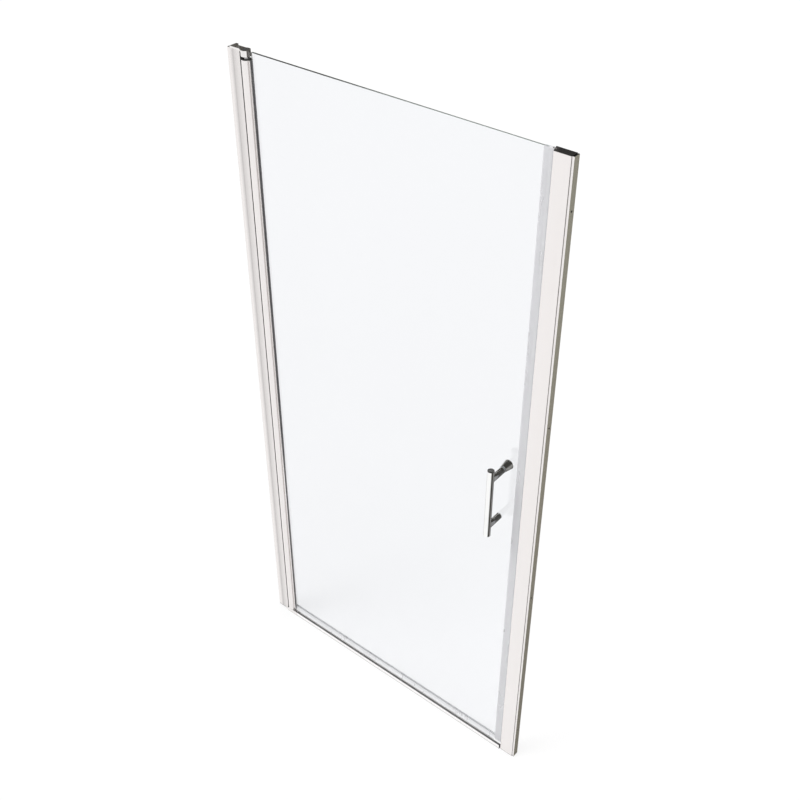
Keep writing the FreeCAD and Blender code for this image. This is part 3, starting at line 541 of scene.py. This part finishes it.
bracket_ease = 0.00035
cast_metal = polished("polished_casting", (0.86, 0.84, 0.83), 0.09)
top_bracket = eased_copy("top_pivot_bracket", "top_bracket_casting", bracket_ease, "frame")
give(top_bracket, cast_metal)
cap_plastic = moulded("cap_disc_plastic", (0.05, 0.05, 0.05), 0.42)
dress(cap_plastic, "top_bracket_cap")
bearing_plastic = moulded("bearing_plastic", (0.80, 0.79, 0.76), 0.48, Subsurface_Weight=0.1)
dress(bearing_plastic, "top_pivot_bush")

# The screws: a countersunk head with a cross recess, on a plain shank.
screw_head = 0.0033             # radius
screw_shank = 0.0018            # radius
screw_sink = 0.0015             # height of the head's cone
screw_length = 0.018
screw_ease = 0.00012
recess_length = 0.0036
recess_width = 0.0008
recess_depth = 0.0014


def cross_screw():
    """One screw with its head's flat on top at the origin, and its point down."""
    bpy.ops.object.select_all(action="DESELECT")
    bpy.ops.mesh.primitive_cylinder_add(vertices=40, radius=screw_shank, depth=screw_length,
                                        location=(0.0, 0.0, -screw_length / 2))
    screw = bpy.context.object
    bpy.ops.object.transform_apply()
    bpy.ops.object.mode_set(mode="EDIT")
    bpy.ops.mesh.select_all(action="DESELECT")
    bpy.ops.object.mode_set(mode="OBJECT")
    for face in screw.data.polygons:
        face.select = face.normal.z > 0.9
    bpy.ops.object.mode_set(mode="EDIT")
    bpy.ops.transform.translate(value=(0.0, 0.0, -screw_sink))
    bpy.ops.mesh.extrude_region_move(TRANSFORM_OT_translate={"value": (0.0, 0.0, screw_sink)})
    spread = screw_head / screw_shank
    bpy.ops.transform.resize(value=(spread, spread, 1.0), center_override=(0.0, 0.0, 0.0))
    bpy.ops.object.mode_set(mode="OBJECT")
    for turn in (45.0, 135.0):
        bpy.ops.object.select_all(action="DESELECT")
        bpy.ops.mesh.primitive_cube_add(size=1.0, location=(0.0, 0.0, 0.0),
                                        scale=(recess_length, recess_width, 2 * recess_depth))
        blade = bpy.context.object
        blade.rotation_euler = (0.0, 0.0, math.radians(turn))
        bpy.ops.object.transform_apply()
        bpy.ops.object.select_all(action="DESELECT")
        bpy.context.view_layer.objects.active = screw
        screw.select_set(True)
        recess = screw.modifiers.new("recess", "BOOLEAN")
        recess.operation = "DIFFERENCE"
        recess.solver = "EXACT"
        recess.object = blade
        bpy.ops.object.modifier_apply(modifier="recess")
        bpy.data.objects.remove(blade)
    edge = screw.modifiers.new("eased", "BEVEL")
    edge.width = screw_ease
    edge.segments = 2
    edge.limit_method = "ANGLE"
    edge.angle_limit = math.radians(40.0)
    bpy.ops.object.modifier_apply(modifier="eased")
    bpy.ops.object.shade_smooth_by_angle(angle=math.radians(25.0))
    return screw


def screw_pair(name, node, flat, upside_down):
    """Two screws in the places of the CAD node's pair, which stand for it."""
    low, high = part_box(node)
    middle = (low.x + high.x) / 2
    copies = []
    for y in (low.y + screw_head, high.y - screw_head):
        copy = cross_screw()
        if upside_down:
            copy.rotation_euler = (math.radians(180.0), 0.0, 0.0)
        copy.location = (middle, y, flat)
        copies.append(copy)
    bpy.ops.object.select_all(action="DESELECT")
    for copy in copies:
        copy.select_set(True)
    bpy.context.view_layer.objects.active = copies[0]
    bpy.ops.object.join()
    bpy.ops.object.transform_apply()
    pair = bpy.context.object
    pair.name = name
    give(pair, screw_steel)
    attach(pair, "frame")
    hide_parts(node)


screw_steel = polished("stainless_steel", (0.66, 0.65, 0.64), 0.20)
screw_pair("top_bracket_cross_screws", "top_bracket_screws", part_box("top_bracket_screws")[1].z, False)

# ---------------------------------------------------------------- bottom bracket
# The same polished casting on the tray. It carries the post, the pin and the lower half of the rising
# hinge, which is acetal, and two screws hold it from below.
bottom_bracket = eased_copy("bottom_pivot_bracket", "bottom_bracket_casting", bracket_ease, "frame")
give(bottom_bracket, cast_metal)
screw_pair("bottom_bracket_cross_screws", "bottom_bracket_screws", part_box("bottom_bracket_screws")[0].z, True)
dress(bearing_plastic, "lower_cam")
dress(screw_steel, "bottom_pivot_pin")

# ---------------------------------------------------------------- closing post
# The widest aluminium section. Its nose is slanted, and a dark moulded plug closes its upper end. A
# grey carrier in the nose holds a strip of flexible magnet.
dress(anodised("anodised_strike_post"), "strike_post")
plug_plastic = moulded("plug_plastic", (0.022, 0.021, 0.020), 0.50)
dress(plug_plastic, "strike_post_cap", "threshold_end_cap")
carrier_plastic = moulded("carrier_plastic", (0.10, 0.10, 0.10), 0.35, cells=900.0, grain_depth=0.00001)
dress(carrier_plastic, "strike_magnet_carrier")
magnet_rubber = moulded("magnet_rubber", (0.16, 0.15, 0.14), 0.55)
dress(magnet_rubber, "strike_magnet_strip", "leaf_magnet_strip")

# ---------------------------------------------------------------- locking screws and their caps
# Stainless screws pin each post to its channel on the shower side. Thin caps of chromed plastic snap
# over their heads.
cap_chrome = polished("chromed_plastic", (0.83, 0.83, 0.83), 0.08, film=0.8)
dress(cap_chrome, "hinge_screw_caps", "strike_screw_caps")
dress(screw_steel, "hinge_locking_screws", "strike_locking_screws")

# ---------------------------------------------------------------- threshold strip
# A low aluminium rail with its die lines along X, bedded on the tray. A moulded plug ends it at the
# closing post.
strip_metal = anodised("anodised_threshold", turn=(0.0, math.radians(90.0), 0.0),
                       tint=(0.965, 0.950, 0.945), metallic=0.90)
dress(strip_metal, "threshold_strip")

# ---------------------------------------------------------------- pivot column
# A round aluminium section that grips the glass between two lips. Moulded plugs close its ends, and
# a stainless pin turns with it in the upper bush.
dress(anodised("anodised_column", reach=0.003, darkest=0.6), "pivot_column")
dress(plug_plastic, "column_top_plug")
dress(bearing_plastic, "column_bottom_plug")
pin_steel = polished("satin_pin_steel", (0.95, 0.94, 0.93), 0.32, darkest=0.95, metallic=0.1)
dress(pin_steel, "top_pivot_pin")

# ---------------------------------------------------------------- glass
# One pane of safety glass, with ground and eased edges. Its faces are clear, and along its edges the
# green of the glass shows, with painted light that is strongest where the light comes through the whole
# width of the pane.
clear_glass = (0.902, 0.910, 0.928)
green_glass = (0.50, 0.58, 0.54)
edge_light = (0.93, 1.0, 0.97)
pane_glass, pane, pane_shader = new_material(
    "pane_glass", Transmission_Weight=1.0, IOR=1.5, Metallic=0.0)
pane_place = pane.nodes.new("ShaderNodeTexCoord")
pane_x = part_of(pane, (pane_place, "Object"), "X")
pane_turn = math_node(pane, "ABSOLUTE", part_of(pane, (pane_place, "Normal"), "Y"))
edge_mask = smooth_step(pane, pane_turn, 0.5, 0.95, 1.0, 0.0)
faint = stretched_noise(pane, (pane_place, "Object"), (2.2, 2.2, 1.4), 2.0)
pane_face = tinted(pane, clear_glass, smooth_step(pane, faint, 0.3, 0.7, 0.992, 1.0))
# The edges' green, made lighter towards +X by painted light.
pane_edge = tinted(pane, green_glass, smooth_step(pane, pane_x, 0.05, 0.75, 0.95, 1.8))
link(pane, mixed(pane, edge_mask, pane_face, pane_edge), (pane_shader, "Base Color"))
ground = stretched_noise(pane, (pane_place, "Object"), (900.0, 900.0, 900.0), 2.0)
ground_rough = smooth_step(pane, ground, 0.3, 0.7, 0.20, 0.34)
link(pane, product(pane, edge_mask, ground_rough), (pane_shader, "Roughness"))
# Painted glow: the edges give off light by emission, for the light that the pane pipes along and that
# leaves by its edge.
painted_edge_glow = product(pane, edge_mask, smooth_step(pane, pane_x, 0.10, 0.75, 0.02, 0.24))
link(pane, tinted(pane, edge_light, painted_edge_glow), (pane_shader, "Emission Color"))
pane_shader.inputs["Emission Strength"].default_value = 1.0
dress(pane_glass, "glass_panel")
nodes["glass_panel"].visible_shadow = False

# Rubber gaskets wedge the pane in the column's slot: the outer one is dark, the inner one clear.
gasket_rubber = moulded("gasket_rubber", (0.15, 0.15, 0.155), 0.55)
dress(gasket_rubber, "glass_gasket_front")


# ---------------------------------------------------------------- clear seals
# Strips of soft clear plastic, pressed through a die: the edge seal with the leaf's magnet, the drip
# seal with its fin, and the inner gasket. Fine ribs from the die run along them.
def clear_plastic(name, colour, transmission, rib_axis, pitch, own_shade=None):
    """A soft clear plastic with fine ribs, a pitch apart along X, Y or Z. A piece's own shade is a
    function, as in anodised()."""
    material, tree, shader = new_material(name, Transmission_Weight=transmission, IOR=1.46)
    place = tree.nodes.new("ShaderNodeTexCoord")
    across = part_of(tree, (place, "Object"), rib_axis)
    rib = math_node(tree, "SINE", product(tree, across, 2 * math.pi / pitch))
    cloud = stretched_noise(tree, (place, "Object"), (30.0, 30.0, 8.0), 3.0)
    shade = product(tree, smooth_step(tree, rib, -1.0, 1.0, 0.965, 1.0),
                    smooth_step(tree, cloud, 0.3, 0.7, 0.975, 1.0))
    if own_shade:
        shade = product(tree, shade, own_shade(tree, place))
    link(tree, tinted(tree, colour, shade), (shader, "Base Color"))
    link(tree, smooth_step(tree, cloud, 0.3, 0.7, 0.26, 0.36), (shader, "Roughness"))
    bumped(tree, shader, rib, distance=0.00005, strength=0.25)
    return material


seal_clear = 0.00003            # the seals' faces lie in the glass's faces, so they are drawn back
edge_seal_ease = 0.0003
drip_seal_ease = 0.0002
rib_pitch = 0.0018
gasket_rib_pitch = 0.0012
edge_seal = eased_copy("leaf_magnet_seal", "leaf_edge_seal", edge_seal_ease, "leaf", seal_clear)
give(edge_seal, clear_plastic("clear_edge_seal", (0.90, 0.90, 0.92), 0.30, "X", rib_pitch))
edge_seal.visible_shadow = False

# The drip seal's thick upper rim gets a painted grey line of shade, and its thin fin painted shade for
# the dark top of the threshold seen through it. Each fades out between two heights.
drip_low, drip_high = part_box("bottom_drip_seal")
rim_fade = (drip_high.z - 0.0022, drip_high.z - 0.0016)
fin_fade = (drip_low.z + 0.0008, drip_low.z + 0.0022)
rim_shade = 0.45
fin_shade = 0.35


def rim_and_fin(tree, place):
    """The painted shade of the drip seal's rim and fin."""
    height = part_of(tree, (place, "Object"), "Z")
    rim = smooth_step(tree, height, rim_fade[0], rim_fade[1], 1.0, rim_shade)
    fin = smooth_step(tree, height, fin_fade[0], fin_fade[1], fin_shade, 1.0)
    return product(tree, rim, fin)


drip_seal = eased_copy("bottom_drip_seal", "leaf_drip_seal", drip_seal_ease, "leaf", seal_clear)
give(drip_seal, clear_plastic("clear_drip_seal", (0.97, 0.97, 0.985), 0.30, "Z", rib_pitch, rim_and_fin))
drip_seal.visible_shadow = False
clear_rubber = clear_plastic("clear_gasket", (0.85, 0.85, 0.87), 0.6, "Y", gasket_rib_pitch)
dress(clear_rubber, "glass_gasket_back")

# ---------------------------------------------------------------- handle
# Chromed brass: a round bar on two distance pieces outside, and a conical knob inside. Clear washers
# and sleeves keep the metal off the glass, and stainless studs and a flush screw hold it all.
brass_chrome = (0.93, 0.93, 0.925)


def shaded_brass(name, side, top):
    """Chromed brass with painted shade on its side towards the closing post and on its upper faces."""
    def painted_side_and_top(tree, place):
        return product(tree, facing(tree, place, "X", 0.60, 0.70, 1.0, side),
                       facing(tree, place, "Z", 0.30, 0.70, 1.0, top))

    return polished(name, brass_chrome, 0.03, film=0.8, own_shade=painted_side_and_top)


# The bar and its distance pieces get painted shade on their side towards the closing post, and the bar's
# upper end gets painted shade for the dark ceiling that it looks into.
dress(shaded_brass("chromed_bar", side=0.50, top=0.40), "handle_bar")
dress(shaded_brass("chromed_distance_pieces", side=0.50, top=1.0), "handle_standoffs")
dress(polished("chromed_knob", brass_chrome, 0.10, film=0.8), "inner_knob")
dress(screw_steel, "handle_bar_studs", "handle_glass_screw", "knob_stud")
washer_plastic = moulded("washer_plastic", (0.52, 0.53, 0.54), 0.40, cells=1100.0, grain_depth=0.00001,
                         Transmission_Weight=0.3)
dress(washer_plastic, "handle_outer_washers", "knob_washer", "handle_hole_sleeves")
